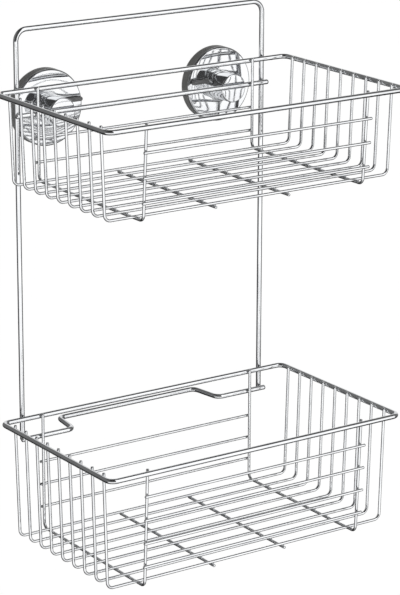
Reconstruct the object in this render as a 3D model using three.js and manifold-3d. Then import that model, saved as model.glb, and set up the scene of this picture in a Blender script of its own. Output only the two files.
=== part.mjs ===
// A two-tier wire shower caddy that hangs on two lever-operated suction holders.
// Millimetres, +Z up, -Y toward the room. The origin lies on the wall, behind the middle of the rack and
// level with the holders' axes.
import * as THREE from 'three';
import { mergeVertices } from 'three/addons/utils/BufferGeometryUtils.js';
import Module from 'manifold-3d';

const wasm = await Module();
wasm.setup();

// ---- driving dimensions ----
const GAP = 0.3;                 // clearance left at every welded crossing
const ROD = 2.0;                 // radius of the heavy rod: bow, rims and rails
const WIRE = 1.15;               // radius of the light wire
const RIM_WIDTH = 270;           // rim centreline, left to right
const RIM_DEPTH = 157;           // rim centreline, wall to room
const RIM_CORNER = 6;            // bend radius of the rim corners
const BACK_ROD_Y = -31;          // rear rod of both rims, measured from the wall
const UPPER_RIM_Z = 21.1;
const TIER_DROP = 262.3;           // from the upper rim down to the lower rim
const LEVEL = 19;                // step between the side wires
const UPPER_FLOOR = -68.4;       // long wires of the floor, from their own rim
const LOWER_FLOOR = -90.5;
const SIDE_TAPER = 2.6;          // how far each end wall leans in
const FRONT_TAPER = 4.5;         // how far the front wall leans in
const LONG_WIRES = 9;
const LONG_PITCH = 16;
const CROSS_X = 100;            // the two full cross wires
const FLOOR_X = 33.4;            // the two short floor wires
const WIRE_TOP = 2.6;            // wire ends stand this far above the rim's centre
const LONG_BEND = 5;
const CROSS_BEND = 5;
const BOW_X = 114.25;            // legs of the bow
const BOW_RISE = 46.3;             // top of the bow above the upper rim
const BOW_CORNER = 9;
const RAIL_DROP = 19.3;          // upper back rail below its rim
const RAIL_END = 117.8;
const SPACER_DROP = 16.7;        // spacer rail below the lower rim
const SPACER_FRONT_X = 70;       // where the spacer rail turns toward the wall
const SPACER_BACK_X = 66;        // half of the stretch that rests on the wall

const HOLDER_X = 80.25;          // half of the distance between the holders' axes
const HOLDER_SHIFT = 4.25;       // the rack hangs this far left of the middle between them
const DISC_R = 30.25;
const CUP_FRONT = 8.4;
const PLATE_BACK = CUP_FRONT + GAP;
const PLATE_FRONT = 10.7;
const PLATE_BEVEL = 1.1;
const HUB_R = 11.5;
const COLLAR_BACK = PLATE_FRONT + GAP;
const COLLAR_FRONT = 15.6;
const HEAD_BACK = COLLAR_FRONT + GAP;
const HEAD_FRONT = 31.2;
const NECK_R = 7.0;
const BORE_R = 3.3;
const STUD_R = 3.0;
const SEAT_ANGLE = 35;           // the rail's seat opens forward and up at this angle
const LEVER_T = 13.3;            // lever axis, measured out from the wall
const LEVER_Z = 4.4;
const LEVER_TIP = 28.8;
const SLEEVE_R = 1.8;
const ARM_R = 1.1;

const HOOP_SIDES = 8;            // facets round a light wire
const ROD_SIDES = 8;             // facets round a heavy rod
const ROUND = 28;                // facets round the holders
const REAR_WIRE_Y = BACK_ROD_Y - ROD - GAP - WIRE;

// ---- materials ----
const steel = (color, roughness) => new THREE.MeshStandardMaterial({ color, roughness, metalness: 1 });
const chrome = () => steel(0xdfe2e4, 0.08);
const plastic = (color, roughness) => new THREE.MeshStandardMaterial({ color, roughness, metalness: 0 });

// ---- shape helpers ----

/** A centreline of straight runs joined by rounded corners, stepped only where it bends. */
class BentLine extends THREE.Curve {
  constructor(corners, bend, arcSteps = 3) {
    super();
    this.points = [corners[0].clone()];
    this.tangents = [corners[1].clone().sub(corners[0]).normalize()];
    for (let i = 1; i < corners.length - 1; i++) {
      const into = corners[i].clone().sub(corners[i - 1]).normalize();
      const out = corners[i + 1].clone().sub(corners[i]).normalize();
      const turn = into.angleTo(out);
      const set = bend * Math.tan(turn / 2);
      const start = corners[i].clone().addScaledVector(into, -set);
      const side = out.clone().addScaledVector(into, -out.dot(into)).normalize();
      for (let k = 0; k <= arcSteps; k++) {
        const a = (turn * k) / arcSteps;
        this.points.push(start.clone()
          .addScaledVector(into, bend * Math.sin(a))
          .addScaledVector(side, bend * (1 - Math.cos(a))));
        this.tangents.push(into.clone().multiplyScalar(Math.cos(a)).addScaledVector(side, Math.sin(a)));
      }
    }
    const last = corners.length - 1;
    this.points.push(corners[last].clone());
    this.tangents.push(corners[last].clone().sub(corners[last - 1]).normalize());
    this.steps = this.points.length - 1;
  }
  at(list, u, target) {
    const s = u * this.steps;
    const i = Math.min(Math.floor(s + 1e-6), this.steps - 1);
    return target.copy(list[i]).lerp(list[i + 1], s - i);
  }
  getPoint(t, target = new THREE.Vector3()) { return this.at(this.points, t, target); }
  getPointAt(u, target = new THREE.Vector3()) { return this.at(this.points, u, target); }
  getTangentAt(u, target = new THREE.Vector3()) { return this.at(this.tangents, u, target).normalize(); }
}

const vec = (x, y, z) => new THREE.Vector3(x, y, z);

/** A round wire of the given radius swept along a bent line. */
function sweep(line, radius, sides) {
  const ring = [];
  for (let i = 0; i < sides; i++) {
    const a = (2 * Math.PI * i) / sides;
    ring.push(new THREE.Vector2(radius * Math.cos(a), radius * Math.sin(a)));
  }
  return new THREE.ExtrudeGeometry(new THREE.Shape(ring), { steps: line.steps, extrudePath: line });
}

const lightWire = (corners, bend = 1) => sweep(new BentLine(corners, bend), WIRE, HOOP_SIDES);
const heavyRod = (corners, bend = 1) => sweep(new BentLine(corners, bend), ROD, ROD_SIDES);

/** A closed geometry as a solid that can be joined and cut. */
function solid(geometry) {
  const g = geometry.clone();
  g.deleteAttribute('normal');
  g.deleteAttribute('uv');
  const m = mergeVertices(g, 1e-4);
  return new wasm.Manifold(new wasm.Mesh({
    numProp: 3,
    vertProperties: new Float32Array(m.attributes.position.array),
    triVerts: new Uint32Array(m.index.array),
  }));
}

function geometryOf(body) {
  const mesh = body.getMesh();
  const g = new THREE.BufferGeometry();
  g.setAttribute('position', new THREE.BufferAttribute(new Float32Array(mesh.vertProperties), 3));
  g.setIndex(new THREE.BufferAttribute(new Uint32Array(mesh.triVerts), 1));
  g.computeVertexNormals();
  return g;
}

/** A turned piece: pairs of radius and distance out from the wall, on an axis that faces the room. */
function turned(pairs, segments = ROUND) {
  const g = new THREE.LatheGeometry(pairs.map(([r, t]) => new THREE.Vector2(r, t)), segments);
  g.rotateX(Math.PI);
  return g;
}

/** A plain cylinder between two points. */
function bar(from, to, radius, sides = 16) {
  const g = new THREE.CylinderGeometry(radius, radius, from.distanceTo(to), sides);
  g.applyQuaternion(new THREE.Quaternion().setFromUnitVectors(vec(0, 1, 0), to.clone().sub(from).normalize()));
  const mid = from.clone().add(to).multiplyScalar(0.5);
  g.translate(mid.x, mid.y, mid.z);
  return g;
}

function piece(name, geometry, material) {
  const mesh = new THREE.Mesh(geometry, material);
  mesh.name = name;
  return mesh;
}

// ---- the rack ----

/** A closed rim, bent from rod and welded where its two halves meet at the middle of the long sides. */
function rimGeometry() {
  const half = (side) => heavyRod([
    vec(0, BACK_ROD_Y, 0),
    vec(side * RIM_WIDTH / 2, BACK_ROD_Y, 0),
    vec(side * RIM_WIDTH / 2, BACK_ROD_Y - RIM_DEPTH, 0),
    vec(0, BACK_ROD_Y - RIM_DEPTH, 0),
  ], RIM_CORNER);
  return geometryOf(solid(half(-1)).add(solid(half(1))));
}

/** One basket with its rim at z = 0: rim, long U wires, cross wires, floor wires, front and back wires. */
function basket(tier, floor, frontRows, backRows) {
  const group = new THREE.Group();
  group.add(piece(`${tier}_rim`, rimGeometry(), chrome()));

  const endX = RIM_WIDTH / 2 - ROD - GAP - WIRE;
  for (let i = 0; i < LONG_WIRES; i++) {
    const y = BACK_ROD_Y - RIM_DEPTH / 2 - LONG_PITCH * (i - (LONG_WIRES - 1) / 2);
    group.add(piece(`${tier}_long_wire_${i + 1}`, lightWire([
      vec(-endX, y, WIRE_TOP),
      vec(-endX + SIDE_TAPER, y, floor),
      vec(endX - SIDE_TAPER, y, floor),
      vec(endX, y, WIRE_TOP),
    ], LONG_BEND), chrome()));
  }

  const crossZ = floor - 2 * WIRE - GAP;
  const frontY = BACK_ROD_Y - RIM_DEPTH + ROD + GAP + WIRE;
  const floorBackY = BACK_ROD_Y - RIM_DEPTH / 2 + 4 * LONG_PITCH + 3;
  const floorFrontY = BACK_ROD_Y - RIM_DEPTH / 2 - 4 * LONG_PITCH - 3;
  for (const [side, sign] of [['left', -1], ['right', 1]]) {
    group.add(piece(`${tier}_cross_wire_${side}`, lightWire([
      vec(sign * CROSS_X, REAR_WIRE_Y, WIRE_TOP),
      vec(sign * CROSS_X, REAR_WIRE_Y, crossZ),
      vec(sign * CROSS_X, frontY + FRONT_TAPER, crossZ),
      vec(sign * CROSS_X, frontY, WIRE_TOP),
    ], CROSS_BEND), chrome()));
    group.add(piece(`${tier}_floor_wire_${side}`, lightWire([
      vec(sign * FLOOR_X, floorBackY, crossZ),
      vec(sign * FLOOR_X, floorFrontY, crossZ),
    ]), chrome()));
  }

  const reach = CROSS_X + WIRE + 2.2;
  for (let row = 1; row <= frontRows; row++) {
    const z = -LEVEL * row;
    const lean = FRONT_TAPER * (WIRE_TOP - z) / (WIRE_TOP - crossZ);
    const y = frontY + lean - 2 * WIRE - GAP;
    group.add(piece(`${tier}_front_wire_${row}`, lightWire([vec(-reach, y, z), vec(reach, y, z)]), chrome()));
  }
  for (let row = 1; row <= backRows; row++) {
    const z = -LEVEL * (row + 1);
    const y = REAR_WIRE_Y + 2 * WIRE + GAP;
    const end = CROSS_X + WIRE + 0.6;
    group.add(piece(`${tier}_back_wire_${row}`, lightWire([vec(-end, y, z), vec(end, y, z)]), chrome()));
  }
  return group;
}

const rack = new THREE.Group();

const upper = basket('upper', UPPER_FLOOR, 3, 2);
upper.add(piece('upper_back_rail', heavyRod([
  vec(-RAIL_END, BACK_ROD_Y, -RAIL_DROP), vec(RAIL_END, BACK_ROD_Y, -RAIL_DROP),
]), chrome()));
upper.position.z = UPPER_RIM_Z;

const lower = basket('lower', LOWER_FLOOR, 4, 3);
lower.add(piece('wall_spacer_rail', heavyRod([
  vec(-RAIL_END, BACK_ROD_Y, -SPACER_DROP),
  vec(-SPACER_FRONT_X, BACK_ROD_Y, -SPACER_DROP),
  vec(-SPACER_BACK_X, -ROD, -SPACER_DROP),
  vec(SPACER_BACK_X, -ROD, -SPACER_DROP),
  vec(SPACER_FRONT_X, BACK_ROD_Y, -SPACER_DROP),
  vec(RAIL_END, BACK_ROD_Y, -SPACER_DROP),
], 6), chrome()));
lower.position.z = UPPER_RIM_Z - TIER_DROP;

const legY = BACK_ROD_Y + 2 * ROD + GAP;
const legFoot = UPPER_RIM_Z - TIER_DROP - SPACER_DROP - ROD;
const bow = piece('frame_bow', heavyRod([
  vec(-BOW_X, legY, legFoot),
  vec(-BOW_X, legY, UPPER_RIM_Z + BOW_RISE),
  vec(BOW_X, legY, UPPER_RIM_Z + BOW_RISE),
  vec(BOW_X, legY, legFoot),
], BOW_CORNER), chrome());
rack.add(bow, upper, lower);

// ---- the suction holders ----

/** The head's seat: a rounded slot that follows the rail in from the front at a slope. */
function seatCut() {
  const r = ROD + GAP;
  const outline = new THREE.Shape();
  outline.moveTo(16, -r);
  outline.lineTo(0, -r);
  outline.absarc(0, 0, r, -Math.PI / 2, -3 * Math.PI / 2, true);
  outline.lineTo(16, r);
  outline.closePath();
  const g = new THREE.ExtrudeGeometry(outline, { depth: 40, bevelEnabled: false, curveSegments: 6 });
  g.translate(0, 0, -20);
  // the slot's length runs forward and up, its depth lies left to right
  g.rotateZ(THREE.MathUtils.degToRad(SEAT_ANGLE));
  g.rotateY(-Math.PI / 2);
  g.rotateZ(Math.PI);
  return g;
}

/** One holder; inward is +1 where the rack's middle lies toward +X. */
function holder(side, inward) {
  const group = new THREE.Group();
  const name = (part) => `${side}_${part}`;

  group.add(piece(name('pad'), turned([
    [0, 0], [26.8, 0], [27.3, 0.5], [27.3, 4.1], [6.4, 4.1], [6.4, 1.0], [0, 1.0],
  ]), plastic(0x2c2d2e, 0.85)));

  group.add(piece(name('cup'), turned([
    [BORE_R, 4.4], [27.6, 4.4], [27.6, GAP], [DISC_R, GAP], [DISC_R, CUP_FRONT], [BORE_R, CUP_FRONT],
    [BORE_R, 4.4],
  ], 40), plastic(0x5a5b5b, 0.55)));

  group.add(piece(name('face_plate'), turned([
    [NECK_R + GAP, PLATE_BACK], [DISC_R, PLATE_BACK], [DISC_R, PLATE_FRONT - PLATE_BEVEL],
    [DISC_R - PLATE_BEVEL, PLATE_FRONT], [NECK_R + GAP, PLATE_FRONT], [NECK_R + GAP, PLATE_BACK],
  ], 40), chrome()));

  // barrel: the neck stands on the cup, the head carries the rail's sloping seat
  const pinT = 14.1;
  const railZ = UPPER_RIM_Z - RAIL_DROP;
  const seat = seatCut();
  seat.translate(0, BACK_ROD_Y, railZ);
  const slotCut = new THREE.BoxGeometry(2 * NECK_R + 4, 3.9, 2.6);
  slotCut.translate(0, -(pinT - 0.75), 0);
  const barrel = solid(turned([
    [0, 22.2], [BORE_R, 22.2], [BORE_R, PLATE_BACK], [NECK_R, PLATE_BACK], [NECK_R, HEAD_BACK],
    [HUB_R - 0.5, HEAD_BACK], [HUB_R, HEAD_BACK + 0.5], [HUB_R, HEAD_FRONT - 0.9],
    [HUB_R - 0.9, HEAD_FRONT], [0, HEAD_FRONT],
  ])).subtract(solid(seat)).subtract(solid(slotCut));
  group.add(piece(name('barrel'), geometryOf(barrel), chrome()));

  // lever: a collar that turns on the neck, with an arm set above the axis
  const grooveR = 10.2;
  const collar = solid(turned([
    [NECK_R + GAP, COLLAR_BACK], [HUB_R - 0.4, COLLAR_BACK], [HUB_R, COLLAR_BACK + 0.4],
    [HUB_R, COLLAR_FRONT - 0.4], [HUB_R - 0.4, COLLAR_FRONT], [NECK_R + GAP, COLLAR_FRONT],
    [NECK_R + GAP, COLLAR_FRONT - 0.4], [grooveR, COLLAR_FRONT - 0.4], [grooveR, COLLAR_BACK + 0.4],
    [NECK_R + GAP, COLLAR_BACK + 0.4], [NECK_R + GAP, COLLAR_BACK],
  ]));
  const arm = solid(bar(
    vec(inward * 10.3, -LEVER_T, LEVER_Z), vec(inward * (LEVER_TIP - 3), -LEVER_T, LEVER_Z), ARM_R, 12));
  group.add(piece(name('lever_collar'), geometryOf(collar.add(arm)), chrome()));

  const sleeveFrom = 12.6;
  const sleeve = solid(turned([
    [0, 0], [SLEEVE_R - 0.4, 0], [SLEEVE_R, 0.4], [SLEEVE_R, LEVER_TIP - sleeveFrom - SLEEVE_R],
    [SLEEVE_R * 0.71, LEVER_TIP - sleeveFrom - SLEEVE_R * 0.29], [0, LEVER_TIP - sleeveFrom],
  ], 16)).subtract(solid(turned([
    [0, -1], [ARM_R + GAP, -1], [ARM_R + GAP, LEVER_TIP - sleeveFrom - 2.5], [0, LEVER_TIP - sleeveFrom - 2.5],
  ], 12)));
  const grip = piece(name('lever_sleeve'), geometryOf(sleeve), plastic(0x3c3d3f, 0.5));
  grip.rotation.z = inward * Math.PI / 2;
  grip.position.set(inward * sleeveFrom, -LEVER_T, LEVER_Z);
  group.add(grip);

  // draw stud: pulls the middle of the pad off the wall, with a pin that follows the collar
  const pinHole = bar(vec(-8, -pinT, 0), vec(8, -pinT, 0), 0.9 + GAP, 12);
  const stud = solid(turned([
    [0, 2.9], [5.5, 2.9], [5.5, 4.0], [STUD_R, 4.0], [STUD_R, 19.6], [STUD_R - 0.6, 20.2], [0, 20.2],
  ], 16)).subtract(solid(pinHole));
  group.add(piece(name('draw_stud'), geometryOf(stud), steel(0xa9abad, 0.35)));
  group.add(piece(name('cam_pin'), bar(vec(-9.4, -pinT, 0), vec(9.4, -pinT, 0), 0.9, 12), steel(0xa9abad, 0.35)));

  group.position.x = HOLDER_SHIFT - inward * HOLDER_X;
  return group;
}

const caddy = new THREE.Group();
caddy.add(rack, holder('left', 1), holder('right', -1));

export default caddy;
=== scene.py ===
# A two-tier chromed wire shower caddy with two lever-locked suction holders, in metres.
# The caddy hangs on a wall at y = 0; -Y is toward the room and +Z is up.
import math

import bmesh
import bpy
import numpy as np
from mathutils import Matrix, Vector


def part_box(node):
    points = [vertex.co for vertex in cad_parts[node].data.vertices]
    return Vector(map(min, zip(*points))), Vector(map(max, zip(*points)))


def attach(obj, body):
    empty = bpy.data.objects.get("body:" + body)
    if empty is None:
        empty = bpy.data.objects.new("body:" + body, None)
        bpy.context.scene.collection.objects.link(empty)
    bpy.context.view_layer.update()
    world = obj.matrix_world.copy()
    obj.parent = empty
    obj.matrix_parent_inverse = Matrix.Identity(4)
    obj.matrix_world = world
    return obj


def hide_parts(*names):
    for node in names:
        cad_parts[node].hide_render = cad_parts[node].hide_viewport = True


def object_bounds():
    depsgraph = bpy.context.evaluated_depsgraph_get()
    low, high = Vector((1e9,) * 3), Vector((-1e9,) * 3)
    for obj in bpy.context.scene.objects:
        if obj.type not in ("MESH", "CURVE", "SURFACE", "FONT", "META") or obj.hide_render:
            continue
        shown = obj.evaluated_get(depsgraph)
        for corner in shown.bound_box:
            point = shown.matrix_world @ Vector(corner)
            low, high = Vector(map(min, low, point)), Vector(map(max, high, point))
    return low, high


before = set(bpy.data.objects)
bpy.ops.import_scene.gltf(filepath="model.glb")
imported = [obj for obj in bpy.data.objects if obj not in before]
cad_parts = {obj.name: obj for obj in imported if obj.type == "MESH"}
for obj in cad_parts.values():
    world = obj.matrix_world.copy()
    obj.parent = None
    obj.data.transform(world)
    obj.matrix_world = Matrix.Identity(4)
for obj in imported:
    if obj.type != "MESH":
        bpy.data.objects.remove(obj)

cad_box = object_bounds()

# ---- Camera ----
# A long lens stands to the left of the rack and above it, two metres off, and looks down at it.
eye = Vector((-1.09788, -1.70590, 0.43427))
azimuth, elevation, roll = math.radians(-34.473), math.radians(16.543), math.radians(0.168)
sensor_mm, lens_mm = 36.0, 157.91
camera_data = bpy.data.cameras.new("camera")
camera_data.sensor_width, camera_data.lens = sensor_mm, lens_mm
camera = bpy.data.objects.new("camera", camera_data)
bpy.context.collection.objects.link(camera)
toward_eye = Vector((math.sin(azimuth) * math.cos(elevation),
                     -math.cos(azimuth) * math.cos(elevation),
                     math.sin(elevation)))
level_right = Vector((math.cos(azimuth), math.sin(azimuth), 0.0))
level_up = toward_eye.cross(level_right)
right = math.cos(roll) * level_right + math.sin(roll) * level_up
up = -math.sin(roll) * level_right + math.cos(roll) * level_up
turn = Matrix((right, up, toward_eye)).transposed()
camera.matrix_world = Matrix.Translation(eye) @ turn.to_4x4()
camera_data.clip_start, camera_data.clip_end = 0.05, 20.0
bpy.context.scene.camera = camera

# ---- Bow ----
# The bow is one length of 4 mm steel rod bent to an upside-down U and chrome plated.
# It is welded behind both tiers and its feet end on the spacer rail.
rod_radius = 0.002
bow_bend = 0.009
around_rod = 20                      # facets round a heavy rod
chrome_tint = (0.83, 0.84, 0.85)
chrome_shade = (0.70, 0.71, 0.73)


def bent_line(corners, bend, arc_steps=10):
    """Points and directions along straight runs joined by arcs of one radius. Each arc starts
    bend * tan(turn / 2) before its corner and leaves it by the same length."""
    corners = np.asarray(corners, float)
    points, headings = [corners[0]], []
    for before, corner, after in zip(corners[:-2], corners[1:-1], corners[2:]):
        into = (corner - before) / np.linalg.norm(corner - before)
        out = (after - corner) / np.linalg.norm(after - corner)
        angle = math.acos(np.clip(into @ out, -1, 1))
        side = out - into * (out @ into)
        side /= np.linalg.norm(side)
        start = corner - into * bend * math.tan(angle / 2)
        a = np.linspace(0, angle, arc_steps + 1)[:, None]
        if not headings:
            headings.append(into)
        points.extend(start + bend * (np.sin(a) * into + (1 - np.cos(a)) * side))
        headings.extend(np.cos(a) * into + np.sin(a) * side)
    last = corners[-1] - corners[-2]
    last = last / np.linalg.norm(last)
    if not headings:
        headings.append(last)
    points.append(corners[-1])
    headings.append(last)
    return np.array(points), np.array(headings)


def grid_faces(rings, sides, closed=False):
    """Quads between neighbouring rings, wound so that they face away from the line."""
    ring = np.arange(rings if closed else rings - 1)[:, None]
    side = np.arange(sides)[None, :]
    nxt_ring, nxt_side = (ring + 1) % rings, (side + 1) % sides
    quads = np.stack([ring * sides + side, ring * sides + nxt_side,
                      nxt_ring * sides + nxt_side, nxt_ring * sides + side], -1)
    return quads.reshape(-1, 4)


def mesh_piece(name, points, faces, material, smooth=True):
    """A mesh object from an array of points and a list of faces."""
    mesh = bpy.data.meshes.new(name)
    mesh.from_pydata(points.tolist(), [], [list(map(int, f)) for f in faces])
    mesh.polygons.foreach_set("use_smooth", [smooth] * len(mesh.polygons))
    mesh.materials.append(material)
    mesh.update()
    piece = bpy.data.objects.new(name, mesh)
    bpy.context.collection.objects.link(piece)
    return piece


def wire_surface(corners, bend, radius, across, sides, dome=0.45):
    """Circle of the wire's radius carried along its centreline. The section is radius *
    (cos v * n + sin v * across), where across is square to the plane that the wire is bent in
    and n is square to both. Each end closes in a shallow dome, dome * radius deep; one more ring
    just inside the dome keeps the shading of the straight run level."""
    line, heading = bent_line(corners, bend)
    across = np.asarray(across, float)
    phi = np.radians([0, 0, 30, 60, 80])
    cap_r, cap_s = np.cos(phi), dome * radius * (np.sin(phi) - 1)
    cap_s[0] -= 0.5 * radius             # the ring just inside the dome
    centre = np.vstack([line[:1] + heading[:1] * -cap_s[::-1, None], line[1:-1],
                        line[-1:] + heading[-1:] * cap_s[:, None]])
    direction = np.vstack([np.repeat(heading[:1], len(phi), 0), heading[1:-1],
                           np.repeat(heading[-1:], len(phi), 0)])
    scale = np.concatenate([cap_r[::-1], np.ones(len(line) - 2), cap_r])
    n = np.cross(across, direction)
    v = np.linspace(0, 2 * np.pi, sides, endpoint=False)
    circle = np.cos(v)[None, :, None] * n[:, None] + np.sin(v)[None, :, None] * across
    points = (centre[:, None] + radius * scale[:, None, None] * circle).reshape(-1, 3)
    rings = len(centre)
    faces = [list(f)[::-1] for f in grid_faces(rings, sides)]
    faces.append(list(range(sides)))
    faces.append([(rings - 1) * sides + k for k in range(sides)][::-1])
    return points, faces


def noise(nodes, scale, detail):
    """Noise with about scale cells to the metre and the given number of finer layers."""
    texture = nodes.new("ShaderNodeTexNoise")
    texture.inputs["Scale"].default_value = scale
    texture.inputs["Detail"].default_value = detail
    return texture


def two_tones(nodes, first, second, start, end):
    """Colour that goes from the first tone to the second while a number goes from start to end."""
    ramp = nodes.new("ShaderNodeValToRGB")
    for element, at, tone in zip(ramp.color_ramp.elements, (start, end), (first, second)):
        element.position, element.color = at, (*tone, 1)
    return ramp


def number_range(nodes, from_low, from_high, to_low, to_high):
    """Number carried in a straight line from one range to another."""
    step = nodes.new("ShaderNodeMapRange")
    for socket, number in zip(step.inputs[1:5], (from_low, from_high, to_low, to_high)):
        socket.default_value = number
    return step


def relief(nodes, strength, depth):
    """Bump of the given strength, for relief of about the given depth in metres."""
    bump = nodes.new("ShaderNodeBump")
    bump.inputs["Strength"].default_value = strength
    bump.inputs["Distance"].default_value = depth
    return bump


def chrome(name, tint, shade, rough_low, rough_high, ripple):
    """Bright plating: a mirror whose polish and tone drift over a few centimetres, with a fine
    ripple from the plated steel under it."""
    material = bpy.data.materials.new(name)
    material.use_nodes = True
    nodes, links = material.node_tree.nodes, material.node_tree.links
    plating = nodes["Principled BSDF"]
    plating.inputs["Metallic"].default_value = 1.0
    place = nodes.new("ShaderNodeTexCoord")
    drift, haze, skin = noise(nodes, 38.0, 5.0), noise(nodes, 310.0, 6.0), noise(nodes, 900.0, 3.0)
    tone = two_tones(nodes, shade, tint, 0.32, 0.62)
    polish = number_range(nodes, 0.3, 0.75, rough_low, rough_high)
    bump = relief(nodes, ripple, 0.0002)
    for texture in (drift, haze, skin):
        links.new(place.outputs["Object"], texture.inputs["Vector"])
    links.new(drift.outputs["Fac"], tone.inputs["Fac"])
    links.new(tone.outputs["Color"], plating.inputs["Base Color"])
    links.new(haze.outputs["Fac"], polish.inputs["Value"])
    links.new(polish.outputs["Result"], plating.inputs["Roughness"])
    links.new(skin.outputs["Fac"], bump.inputs["Height"])
    links.new(bump.outputs["Normal"], plating.inputs["Normal"])
    return material


rack_chrome = chrome("rack chrome", chrome_tint, chrome_shade, 0.05, 0.13, 0.05)


def rack_wire(node, corners, bend, radius, across, sides):
    """One plated wire of the rack in place of its faceted stand-in."""
    surface = wire_surface(corners, bend, radius, across, sides)
    piece = mesh_piece(node + "_plated", *surface, rack_chrome)
    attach(piece, "rack")
    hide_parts(node)
    return piece


bow_low, bow_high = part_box("frame_bow")
leg_x = bow_high.x - rod_radius
leg_y = (bow_low.y + bow_high.y) / 2
bow_top = bow_high.z - rod_radius
rack_wire("frame_bow",
          [(-leg_x, leg_y, bow_low.z), (-leg_x, leg_y, bow_top),
           (leg_x, leg_y, bow_top), (leg_x, leg_y, bow_low.z)],
          bow_bend, rod_radius, (0, 1, 0), around_rod)

# ---- Rims ----
# Each basket's rim is a closed rectangle of the same 4 mm rod, butt-welded at the back,
# ground flush and plated, with tight corners.
rim_bend = 0.006
tiers = ("upper", "lower")


def rim_surface(half_x, front_y, back_y, z):
    """Circle carried round a closed rectangle with arc corners. In the rectangle's plane each
    point moves out from the line along its own normal; across it, along z."""
    seam = (half_x, (front_y + back_y) / 2)
    loop = [seam, (half_x, back_y), (-half_x, back_y), (-half_x, front_y), (half_x, front_y), seam]
    line, heading = bent_line([(x, y, z) for x, y in loop], rim_bend)
    line, heading = line[:-1], heading[:-1]
    n = np.cross((0, 0, 1), heading)
    v = np.linspace(0, 2 * np.pi, around_rod, endpoint=False)
    upward = np.array((0, 0, 1.0))
    circle = np.cos(v)[None, :, None] * n[:, None] + np.sin(v)[None, :, None] * upward
    points = (line[:, None] + rod_radius * circle).reshape(-1, 3)
    return points, [list(f)[::-1] for f in grid_faces(len(line), around_rod, closed=True)]


rim = {}
for tier in tiers:
    low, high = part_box(tier + "_rim")
    rim[tier] = dict(x=high.x - rod_radius, front=low.y + rod_radius,
                     back=high.y - rod_radius, z=(low.z + high.z) / 2)
    r = rim[tier]
    piece = mesh_piece(tier + "_rim_plated", *rim_surface(r["x"], r["front"], r["back"], r["z"]),
                       rack_chrome)
    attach(piece, "rack")
    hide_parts(tier + "_rim")

# ---- Back rail and spacer rail ----
# Both are 4 mm rod, welded to the bow's legs. The straight one behind the upper basket drops
# into the holders' seats. The lower one is jogged back to the wall along its middle and keeps
# the rack upright.
spacer_bend = 0.006
low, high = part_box("upper_back_rail")
rail_y, rail_z, rail_end = (low.y + high.y) / 2, (low.z + high.z) / 2, high.x
rack_wire("upper_back_rail", [(-rail_end, rail_y, rail_z), (rail_end, rail_y, rail_z)],
          spacer_bend, rod_radius, (0, 0, 1), around_rod)

low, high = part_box("wall_spacer_rail")
spacer_z = (low.z + high.z) / 2
spacer_front, spacer_back = low.y + rod_radius, high.y - rod_radius
jog_front_x, jog_back_x = 0.070, 0.066
rack_wire("wall_spacer_rail",
          [(-high.x, spacer_front, spacer_z), (-jog_front_x, spacer_front, spacer_z),
           (-jog_back_x, spacer_back, spacer_z), (jog_back_x, spacer_back, spacer_z),
           (jog_front_x, spacer_front, spacer_z), (high.x, spacer_front, spacer_z)],
          spacer_bend, rod_radius, (0, 0, 1), around_rod)

# ---- Long wires ----
# Nine 2.3 mm steel wires in each basket run down one end wall, along the floor and up the other.
# Their tips are welded inside the rim and stand just above it.
wire_radius = 0.00115
around_wire = 14                     # facets round a light wire
long_bend = 0.005
end_taper = 0.0026                   # each end wall leans in by this much
long_wires = range(1, 10)
long_y = {}
for tier in tiers:
    for i in long_wires:
        node = f"{tier}_long_wire_{i}"
        low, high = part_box(node)
        y = (low.y + high.y) / 2
        tip_x, tip_z, floor_z = high.x - wire_radius, high.z, low.z + wire_radius
        rack_wire(node, [(-tip_x, y, tip_z), (-tip_x + end_taper, y, floor_z),
                         (tip_x - end_taper, y, floor_z), (tip_x, y, tip_z)],
                  long_bend, wire_radius, (0, 1, 0), around_wire)
        long_y[tier, i] = y

# ---- Cross wires and floor wires ----
# Two wires in each basket run down the back, under the long wires and up the front; two short
# straight ones stiffen the floor between them. All are welded to every long wire.
cross_bend = 0.005
front_taper = 0.0045                 # the front wall leans in by this much
both_sides = ("left", "right")
cross = {}
for tier in tiers:
    for side in both_sides:
        node = f"{tier}_cross_wire_{side}"
        low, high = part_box(node)
        x, under_z = (low.x + high.x) / 2, low.z + wire_radius
        back_y, front_y = high.y - wire_radius, low.y + wire_radius
        rack_wire(node, [(x, back_y, high.z), (x, back_y, under_z),
                         (x, front_y + front_taper, under_z), (x, front_y, high.z)],
                  cross_bend, wire_radius, (1, 0, 0), around_wire)
        cross[tier, side] = dict(x=x, floor=under_z)
        node = f"{tier}_floor_wire_{side}"
        low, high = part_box(node)
        x, z = (low.x + high.x) / 2, (low.z + high.z) / 2
        rack_wire(node, [(x, high.y, z), (x, low.y, z)],
                  cross_bend, wire_radius, (1, 0, 0), around_wire)
        cross[tier, side]["floor_wire_x"] = x

# ---- Front wires and back wires ----
# Straight wires close the long walls. They are welded to the outside of the cross wires and
# their cut ends stand a little past them.
rows = {"upper": (3, 2), "lower": (4, 3)}
side_wires = []
for tier in tiers:
    for wall, count in zip(("front", "back"), rows[tier]):
        for i in range(1, count + 1):
            node = f"{tier}_{wall}_wire_{i}"
            low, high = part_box(node)
            y, z = (low.y + high.y) / 2, (low.z + high.z) / 2
            rack_wire(node, [(low.x, y, z), (high.x, y, z)],
                      cross_bend, wire_radius, (0, 0, 1), around_wire)
            side_wires.append((tier, wall, y, z))

# ---- Welds ----
# Every crossing is a resistance weld: the two wires are pressed into each other and a small
# swell of metal closes the line between them. The plating covers it.
bead_sides, bead_rings = 8, 5
half_gap = 0.00015                   # half of the gap between two welded wires
swell, flat = 0.00125, 0.00062       # reach and half thickness of a weld on a light wire
rod_swell, rod_flat = 0.0019, 0.0008  # the same where two heavy rods meet


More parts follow.
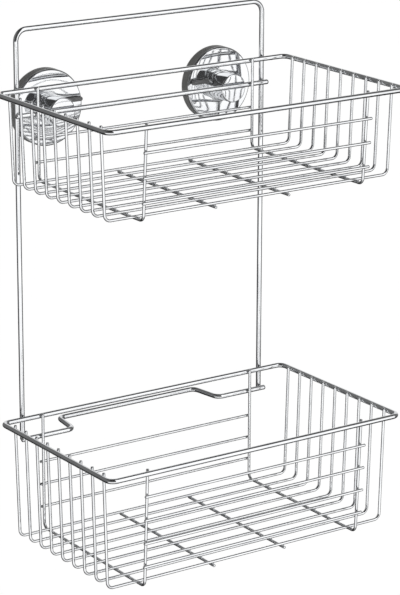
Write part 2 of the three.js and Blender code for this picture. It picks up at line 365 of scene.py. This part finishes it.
def weld_bead(centre, along, reach, thickness):
    """Flattened ball: radius reach around the contact, thickness along the line between the
    two wires' centres. Point = centre + reach * sin u * (cos v * a + sin v * b) + thickness *
    cos u * along, where a and b are square to along and to each other."""
    along = np.asarray(along, float) / np.linalg.norm(along)
    helper = np.array((0, 0, 1.0)) if abs(along[2]) < 0.9 else np.array((1.0, 0, 0))
    a = np.cross(along, helper)
    a /= np.linalg.norm(a)
    b = np.cross(along, a)
    u = np.linspace(0, np.pi, bead_rings + 2)[1:-1]
    v = np.linspace(0, 2 * np.pi, bead_sides, endpoint=False)
    circle = np.cos(v)[None, :, None] * a + np.sin(v)[None, :, None] * b
    ring = (np.sin(u)[:, None, None] * reach * circle
            + np.cos(u)[:, None, None] * thickness * along)
    points = np.vstack([ring.reshape(-1, 3), thickness * along, -thickness * along])
    points = points + np.asarray(centre)
    faces = [list(f) for f in grid_faces(bead_rings, bead_sides)]
    top, bottom = bead_rings * bead_sides, bead_rings * bead_sides + 1
    last = (bead_rings - 1) * bead_sides
    for k in range(bead_sides):
        nxt = (k + 1) % bead_sides
        faces.append([top, nxt, k])
        faces.append([bottom, last + k, last + nxt])
    return points, faces


weld_chrome = chrome("weld chrome", (0.76, 0.77, 0.78), (0.52, 0.53, 0.55), 0.16, 0.34, 0.25)


for tier in tiers:
    beads = []
    r = rim[tier]
    rail_height = rail_z if tier == "upper" else spacer_z
    for i in long_wires:
        y = long_y[tier, i]
        for outward in (-1, 1):
            beads.append(((outward * (r["x"] - rod_radius - half_gap), y, r["z"]),
                          (1, 0, 0), swell, flat))
        for side in both_sides:
            c = cross[tier, side]
            for x in (c["x"], c["floor_wire_x"]):
                beads.append(((x, y, c["floor"] + wire_radius + half_gap),
                              (0, 0, 1), swell, flat))
    for side in both_sides:
        x = cross[tier, side]["x"]
        beads.append(((x, r["back"] - rod_radius - half_gap, r["z"]), (0, 1, 0), swell, flat))
        beads.append(((x, r["front"] + rod_radius + half_gap, r["z"]), (0, 1, 0), swell, flat))
        for wire_tier, wall, y, z in side_wires:
            if wire_tier == tier:
                inside = wire_radius + half_gap if wall == "front" else -wire_radius - half_gap
                beads.append(((x, y + inside, z), (0, 1, 0), swell, flat))
        beads.append(((x, rail_y - rod_radius - half_gap, rail_height), (0, 1, 0), swell, flat))
        leg = math.copysign(leg_x, x)
        for height in (r["z"], rail_height):
            beads.append(((leg, r["back"] + rod_radius + half_gap, height),
                          (0, 1, 0), rod_swell, rod_flat))
    points, faces, base = [], [], 0
    for bead in beads:
        p, f = weld_bead(*bead)
        points.append(p)
        faces.extend([[base + k for k in face] for face in f])
        base += len(p)
    piece = mesh_piece(tier + "_weld_beads", np.vstack(points), faces, weld_chrome)
    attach(piece, "rack")

# ---- Suction pads ----
# Each holder sticks to the wall with a soft black rubber pad. Its wall face has two shallow
# ring grooves and a thin raised lip, and a moulded step runs round its edge.
mm = 0.001
holder_x = {side: (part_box(side + "_pad")[0].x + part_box(side + "_pad")[1].x) / 2
            for side in both_sides}
around_disc = 96
crease = 0.6                         # faces that meet at more than this, in radians, stay sharp


def rounded_profile(pairs, radius, steps=3):
    """Corners of a profile in (radius, distance from the wall), each one rounded with a small
    quadratic curve that leaves its two edges at the given length."""
    pairs = np.asarray(pairs, float)
    out = [pairs[0]]
    for before, corner, after in zip(pairs[:-2], pairs[1:-1], pairs[2:]):
        one, two = before - corner, after - corner
        length_one, length_two = np.linalg.norm(one), np.linalg.norm(two)
        cut = min(radius, 0.45 * length_one, 0.45 * length_two)
        p, q = corner + one / length_one * cut, corner + two / length_two * cut
        t = np.linspace(0, 1, steps + 1)[:, None]
        out.extend((1 - t) ** 2 * p + 2 * t * (1 - t) * corner + t ** 2 * q)
    out.append(pairs[-1])
    return np.array(out)


def turned_surface(profile, sides, closed):
    """Profile turned about the holder's axis: point = (r cos v, -t, r sin v). A closed profile
    joins its last point to its first; an open one starts and ends on the axis."""
    v = np.linspace(0, 2 * np.pi, sides, endpoint=False)
    r, t = profile[:, 0], profile[:, 1]
    points = np.stack([r[:, None] * np.cos(v), np.repeat(-t[:, None], sides, 1),
                       r[:, None] * np.sin(v)], -1)
    if closed:
        faces = grid_faces(len(profile), sides, closed=True)
        return points.reshape(-1, 3), [list(f) for f in faces]
    inner = points[1:-1].reshape(-1, 3)
    rings = len(profile) - 2
    poles = np.array([[0, -t[0], 0], [0, -t[-1], 0]])
    faces = [list(f) for f in grid_faces(rings, sides)]
    first, last, top = rings * sides, rings * sides + 1, (rings - 1) * sides
    for k in range(sides):
        nxt = (k + 1) % sides
        faces.append([first, nxt, k])
        faces.append([last, top + k, top + nxt])
    return np.vstack([inner, poles]), faces


def holder_piece(side, node, points, faces, material, slot, body):
    """A piece of one holder, moved from the axis to that holder's place. It rides on the body
    and stands for the faceted node."""
    moved = points + np.array([holder_x[side], 0, 0])
    piece = mesh_piece(f"{side}_{node}_finished", moved, faces, material)
    piece.data.set_sharp_from_angle(angle=crease)
    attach(piece, body)
    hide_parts(f"{side}_{node}")
    return piece


def moulded(name, colour, worn, rough_low, rough_high, grain_scale, grain):
    """Moulded rubber or plastic: a dull skin with fine grain, and a worn tone that drifts."""
    material = bpy.data.materials.new(name)
    material.use_nodes = True
    nodes, links = material.node_tree.nodes, material.node_tree.links
    skin = nodes["Principled BSDF"]
    skin.inputs["Specular IOR Level"].default_value = 0.4
    place = nodes.new("ShaderNodeTexCoord")
    cloud = noise(nodes, 90.0, 6.0)
    tone = two_tones(nodes, colour, worn, 0.35, 0.72)
    polish = number_range(nodes, 0.3, 0.7, rough_low, rough_high)
    pores = nodes.new("ShaderNodeTexVoronoi")
    pores.inputs["Scale"].default_value = grain_scale
    bump = relief(nodes, grain, 0.0003)
    for texture in (cloud, pores):
        links.new(place.outputs["Object"], texture.inputs["Vector"])
    links.new(cloud.outputs["Fac"], tone.inputs["Fac"])
    links.new(cloud.outputs["Fac"], polish.inputs["Value"])
    links.new(tone.outputs["Color"], skin.inputs["Base Color"])
    links.new(polish.outputs["Result"], skin.inputs["Roughness"])
    links.new(pores.outputs["Distance"], bump.inputs["Height"])
    links.new(bump.outputs["Normal"], skin.inputs["Normal"])
    return material


pad_rubber = moulded("pad rubber", (0.018, 0.018, 0.019), (0.045, 0.045, 0.046),
                     0.55, 0.8, 1400.0, 0.15)
pad_rounding = 0.25 * mm
pad_profile = np.array([
    (0, 0.15), (8, 0.15), (8.6, 0.4), (9.4, 0.4), (10, 0.15), (16, 0.15), (16.6, 0.4), (17.4, 0.4),
    (18, 0.15), (24.0, 0.15), (24.6, 0.0), (26.4, 0.0), (27.3, 0.7), (27.3, 2.4), (26.7, 3.0),
    (26.7, 4.1), (6.4, 4.1), (6.4, 1.0), (0, 1.0)]) * mm
for side in both_sides:
    pad = turned_surface(rounded_profile(pad_profile, pad_rounding), around_disc, False)
    holder_piece(side, "pad", *pad, pad_rubber, "pad_rubber", "holders")

# ---- Cups ----
# A stiff dark grey moulding backs the pad. Its skirt nearly meets the wall and its satin side
# shows as the dark ring round the disc.
cup_r = (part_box("left_cup")[1].x - holder_x["left"]) / mm
cup_front = -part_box("left_cup")[0].y / mm
cup_bore, skirt_bore = 3.3, 27.6     # radius round the stud, and inside the skirt round the pad
cup_floor, skirt_back = 4.4, 0.3     # distances of the cup's two back faces from the wall
cup_profile = np.array([
    (cup_bore, cup_floor), (skirt_bore, cup_floor), (skirt_bore, skirt_back),
    (cup_r - 0.35, skirt_back), (cup_r, 1.0), (cup_r, cup_front),
    (cup_bore, cup_front), (cup_bore, cup_floor)]) * mm
cup_plastic = moulded("cup plastic", (0.145, 0.145, 0.142), (0.175, 0.175, 0.171),
                      0.42, 0.6, 2600.0, 0.05)
edge_rounding = 0.3 * mm
for side in both_sides:
    cup = turned_surface(rounded_profile(cup_profile, edge_rounding)[:-1], around_disc, True)
    holder_piece(side, "cup", *cup, cup_plastic, "cup_plastic", "holders")

# ---- Face plates ----
# A pressed and plated steel disc covers the cup's front. It is a mirror with a bevel all
# round, and the barrel's neck passes through its middle.
plate_back, plate_front = (-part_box("left_face_plate")[k].y / mm for k in (1, 0))
plate_hole, plate_bevel = 7.3, 1.1
plate_profile = np.array([
    (plate_hole, plate_back), (cup_r, plate_back), (cup_r, plate_front - plate_bevel),
    (cup_r - plate_bevel, plate_front), (plate_hole, plate_front), (plate_hole, plate_back)]) * mm
holder_chrome = chrome("holder chrome", (0.82, 0.83, 0.84), (0.74, 0.75, 0.77), 0.035, 0.08, 0.02)
for side in both_sides:
    plate = turned_surface(rounded_profile(plate_profile, edge_rounding)[:-1], around_disc, True)
    holder_piece(side, "face_plate", *plate, holder_chrome, "holder_chrome", "holders")

# ---- Barrels ----
# The barrel is turned and plated. A sloping slot with a round bottom is milled through its
# head; the rail drops into it and cannot slide out while the rack's weight is on it.
hub_r = (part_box("left_barrel")[1].x - holder_x["left"]) / mm
collar_back, collar_front = (-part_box("left_lever_collar")[k].y / mm for k in (1, 0))
head_back, head_front = collar_front + 0.3, -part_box("left_barrel")[0].y / mm
bore_r, bore_end, neck_r = 3.3, 22.2, 7
head_chamfer, head_break = 0.7, 0.25
barrel_profile = np.array([
    (0, bore_end), (bore_r, bore_end), (bore_r, plate_back), (neck_r, plate_back),
    (neck_r, head_back), (hub_r - head_break, head_back), (hub_r, head_back + head_break),
    (hub_r, head_front - head_chamfer), (hub_r - head_chamfer, head_front), (0, head_front)]) * mm
barrel_rounding, barrel_crease = 0.35 * mm, 0.5
seat_slope = math.radians(35)
seat_radius = 2.3 * mm
seat_reach, seat_half = 16 * mm, 20 * mm  # how far the cut runs forward, and to each side


def seat_cutter(x):
    """Slot that follows the rail's section: a half circle behind the rail's axis and two flat
    flanks that run forward and up at the slope, carried straight from side to side."""
    a = np.linspace(-np.pi / 2, -3 * np.pi / 2, 25)
    s = np.concatenate([[seat_reach], seat_radius * np.cos(a), [seat_reach]])
    h = np.concatenate([[-seat_radius], seat_radius * np.sin(a), [seat_radius]])
    y = rail_y - (s * math.cos(seat_slope) - h * math.sin(seat_slope))
    z = rail_z + s * math.sin(seat_slope) + h * math.cos(seat_slope)
    n = len(s)
    points = np.vstack([np.stack([np.full(n, x - seat_half), y, z], -1),
                        np.stack([np.full(n, x + seat_half), y, z], -1)])
    faces = [[k, (k + 1) % n, n + (k + 1) % n, n + k] for k in range(n)]
    faces += [list(range(n))[::-1], list(range(n, 2 * n))]
    return points, faces


def outward_faces(mesh):
    """Turns every face of a closed mesh outward."""
    work = bmesh.new()
    work.from_mesh(mesh)
    bmesh.ops.recalc_face_normals(work, faces=work.faces)
    work.to_mesh(mesh)
    work.free()


def cut_away(piece, cutter):
    """Takes the cutter's solid out of the piece's mesh and removes the cutter. Both are turned
    outward first."""
    for mesh in (piece.data, cutter.data):
        outward_faces(mesh)
    cut = piece.modifiers.new("cut", "BOOLEAN")
    cut.object, cut.operation, cut.solver = cutter, "DIFFERENCE", "EXACT"
    graph = bpy.context.evaluated_depsgraph_get()
    result = bpy.data.meshes.new_from_object(piece.evaluated_get(graph))
    old = piece.data
    piece.modifiers.clear()
    piece.data = result
    bpy.data.meshes.remove(old)
    bpy.data.objects.remove(cutter)


for side in both_sides:
    x = holder_x[side]
    points, faces = turned_surface(rounded_profile(barrel_profile, barrel_rounding),
                                   around_disc, False)
    barrel = mesh_piece(f"{side}_barrel_finished", points + np.array([x, 0, 0]), faces,
                        holder_chrome)
    cutter = mesh_piece("seat cutter", *seat_cutter(x), holder_chrome, smooth=False)
    cut_away(barrel, cutter)
    barrel.data.polygons.foreach_set("use_smooth", [True] * len(barrel.data.polygons))
    barrel.data.set_sharp_from_angle(angle=barrel_crease)
    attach(barrel, "holders")
    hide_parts(f"{side}_barrel")

# ---- Lever collars ----
# A plated collar turns on the barrel's neck. Its steel arm sits above the axis and carries
# the dark sleeve that a thumb pushes up to let the pad go.
neck_bore, track_r = 7.3, 10.2       # the collar's bore, and the ring groove inside it
lip, back_rounding, front_break = 0.4, 0.35, 0.25
collar_profile = np.array([
    (neck_bore, collar_back), (hub_r - back_rounding, collar_back),
    (hub_r, collar_back + back_rounding), (hub_r, collar_front - front_break),
    (hub_r - front_break, collar_front), (neck_bore, collar_front), (neck_bore, collar_front - lip),
    (track_r, collar_front - lip), (track_r, collar_back + lip), (neck_bore, collar_back + lip),
    (neck_bore, collar_back)]) * mm
collar_rounding = 0.2 * mm
arm_radius, arm_from, arm_short = 1.1 * mm, 10.3 * mm, 3 * mm
inward = {"left": 1.0, "right": -1.0}
lever = {}
for side in both_sides:
    low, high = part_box(side + "_lever_sleeve")
    y, z = (low.y + high.y) / 2, (low.z + high.z) / 2
    tip = max(abs(low.x - holder_x[side]), abs(high.x - holder_x[side]))
    lever[side] = dict(y=y, z=z, tip=tip)
    points, faces = turned_surface(rounded_profile(collar_profile, collar_rounding)[:-1],
                                   around_disc, True)
    arm_points, arm_faces = wire_surface(
        [(inward[side] * arm_from, y, z), (inward[side] * (tip - arm_short), y, z)],
        arm_radius, arm_radius, (0, 0, 1), 16)
    faces = faces + [[len(points) + k for k in f] for f in arm_faces]
    points = np.vstack([points, arm_points])
    holder_piece(side, "lever_collar", points, faces, holder_chrome, "holder_chrome",
                 side + "_lever")

# ---- Lever sleeves ----
# A dark grey sleeve with a round end is pushed over the arm; three shallow rings give grip.
sleeve_plastic = moulded("sleeve plastic", (0.13, 0.13, 0.132), (0.17, 0.17, 0.172),
                         0.35, 0.55, 2200.0, 0.08)
sleeve_from = 12.6 * mm              # the mouth's distance from the holder's axis
sleeve_r, sleeve_bore, sleeve_end, mouth_chamfer = 1.8, 1.4, 2.5, 0.35
grip_from, grip_pitch, grip_depth, grip_slope, grip_width = 3.2, 2.2, 0.22, 0.3, 1.1


def sleeve_surface(length):
    """Profile (radius, distance along the arm) turned about the arm: a bore for the arm, a
    chamfered mouth, three grip rings and a ball end."""
    rings = []
    for k in range(3):
        at, groove = grip_from + grip_pitch * k, sleeve_r - grip_depth
        rings += [(sleeve_r, at), (groove, at + grip_slope),
                  (groove, at + grip_width - grip_slope), (sleeve_r, at + grip_width)]
    dome = np.radians(np.linspace(10, 90, 7))[:-1]
    ball = [(sleeve_r * math.cos(a), length - sleeve_r + sleeve_r * math.sin(a)) for a in dome]
    profile = np.array([(0, length - sleeve_end), (sleeve_bore, length - sleeve_end),
                        (sleeve_bore, 0), (sleeve_r - mouth_chamfer, 0), (sleeve_r, mouth_chamfer)]
                       + rings + [(sleeve_r, length - sleeve_r)] + ball + [(0, length)]) * mm
    return turned_surface(profile, 28, False)


for side in both_sides:
    points, faces = sleeve_surface((lever[side]["tip"] - sleeve_from) / mm)
    along = -points[:, 1]
    points = np.stack([inward[side] * (sleeve_from + along), lever[side]["y"] + points[:, 0],
                       lever[side]["z"] + inward[side] * points[:, 2]], -1)
    piece = holder_piece(side, "lever_sleeve", points, faces, sleeve_plastic, "sleeve_plastic",
                         side + "_lever")
    outward_faces(piece.data)
    piece.data.set_sharp_from_angle(angle=crease)

# ---- Draw studs and cam pins ----
# Inside each barrel a turned steel stud pulls the middle of the pad, and a cross pin ties it
# to the collar. Both are plain bright steel and almost hidden.
stud_steel = chrome("stud steel", (0.55, 0.55, 0.56), (0.42, 0.42, 0.43), 0.25, 0.42, 0.2)
for side in both_sides:
    for node in ("draw_stud", "cam_pin"):
        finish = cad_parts[f"{side}_{node}"].data.materials
        finish.clear()
        finish.append(stud_steel)

# ---- Stage ----
# A glowing white floor far below and a studio that shows only in the plating: a wide white window
# in front, a black card beside the camera, a strip light behind on the right, dim walls.
stage_z = cad_box[0].z - 0.30
floor_half = 6.0
floor_grey, floor_glow = 0.05, 0.97
paper = bpy.data.materials.new("floor paper")
paper.use_nodes = True
paper_skin = paper.node_tree.nodes["Principled BSDF"]
paper_skin.inputs["Base Color"].default_value = (floor_grey, floor_grey, floor_grey, 1)
paper_skin.inputs["Roughness"].default_value = 0.9
paper_skin.inputs["Emission Color"].default_value = (1, 1, 1, 1)
paper_skin.inputs["Emission Strength"].default_value = floor_glow
floor_corners = np.array([(-1, -1), (1, -1), (1, 1), (-1, 1)]) * floor_half
floor = mesh_piece("floor", np.column_stack([floor_corners, np.full(4, stage_z)]), [[0, 1, 2, 3]],
                   paper, smooth=False)
floor.visible_glossy = False

world = bpy.data.worlds.new("studio")
bpy.context.scene.world = world
world.use_nodes = True
nodes, links = world.node_tree.nodes, world.node_tree.links
nodes.clear()


def soft_step(value, low, high, to_low, to_high):
    """Smooth change from to_low to to_high while the value goes from low to high."""
    step = nodes.new("ShaderNodeMapRange")
    step.interpolation_type = "SMOOTHSTEP"
    for socket, number in zip(step.inputs[1:5], (low, high, to_low, to_high)):
        socket.default_value = number
    links.new(value, step.inputs[0])
    return step.outputs["Result"]


def combined(operation, first, *others):
    """Numbers joined one after another by a sum, a product or the larger of the two."""
    for other in others:
        node = nodes.new("ShaderNodeMath")
        node.operation = operation
        links.new(first, node.inputs[0])
        links.new(other, node.inputs[1])
        first = node.outputs["Value"]
    return first


front_azimuth = math.radians(-20)
place = nodes.new("ShaderNodeTexCoord")
look = nodes.new("ShaderNodeSeparateXYZ")
level = nodes.new("ShaderNodeCombineXYZ")
unit = nodes.new("ShaderNodeVectorMath")
unit.operation = "NORMALIZE"
ahead = nodes.new("ShaderNodeVectorMath")
ahead.operation = "DOT_PRODUCT"
ahead.inputs[1].default_value = (math.sin(front_azimuth), -math.cos(front_azimuth), 0)
links.new(place.outputs["Generated"], look.inputs[0])
links.new(look.outputs["X"], level.inputs["X"])
links.new(look.outputs["Y"], level.inputs["Y"])
links.new(level.outputs["Vector"], unit.inputs[0])
links.new(unit.outputs["Vector"], ahead.inputs[0])
across, behind, height = (look.outputs[k] for k in "XYZ")

# Each step gives the direction's limits first and then the brightness on either side of them.
off_card = combined("MAXIMUM", soft_step(across, -0.02, 0.12, 0.0, 1.0),
                    soft_step(height, -0.18, -0.06, 1.0, 0.0),
                    soft_step(behind, -0.1, 0.1, 0.0, 1.0))
window = combined("MULTIPLY", soft_step(ahead.outputs["Value"], 0.25, 0.50, 0.0, 1.45),
                  soft_step(height, 0.86, 0.96, 1.0, 0.0),
                  soft_step(height, -0.85, -0.45, 0.35, 1.0))
strip = combined("MULTIPLY", soft_step(across, 0.15, 0.40, 0.0, 0.9),
                 soft_step(behind, 0.2, 0.5, 0.0, 1.0),
                 soft_step(height, -0.25, -0.05, 0.0, 1.0),
                 soft_step(height, 0.45, 0.60, 1.0, 0.0))
walls = combined("MULTIPLY", soft_step(height, -0.45, -0.05, 0.04, 0.22),
                 soft_step(height, 0.6, 0.9, 1.0, 0.3))
room = nodes.new("ShaderNodeBackground")
links.new(combined("MULTIPLY", combined("ADD", walls, window, strip),
                   soft_step(off_card, 0, 1, 0.05, 1)),
          room.inputs["Strength"])
plain = nodes.new("ShaderNodeBackground")
plain.inputs["Color"].default_value = (1, 1, 1, 1)
choose = nodes.new("ShaderNodeMixShader")
ray = nodes.new("ShaderNodeLightPath")
output = nodes.new("ShaderNodeOutputWorld")
links.new(ray.outputs["Is Camera Ray"], choose.inputs["Fac"])
links.new(room.outputs["Background"], choose.inputs[1])
links.new(plain.outputs["Background"], choose.inputs[2])
links.new(choose.outputs["Shader"], output.inputs["Surface"])


def soft_light(name, stand, target, width, power):
    """A large square area light that stands at one point and faces another."""
    data = bpy.data.lights.new(name, "AREA")
    data.size, data.energy = width, power
    light = bpy.data.objects.new(name, data)
    light.location = stand
    light.rotation_euler = (Vector(target) - Vector(stand)).to_track_quat("-Z", "Y").to_euler()
    light.visible_glossy = False
    bpy.context.collection.objects.link(light)


rack_middle = (0.0, -0.09, -0.13)
soft_light("key", (-1.2, -1.6, 1.6), rack_middle, 1.4, 30)
soft_light("fill", (1.8, -1.2, 1.0), rack_middle, 1.2, 14)
bpy.context.scene.view_settings.view_transform = "Standard"
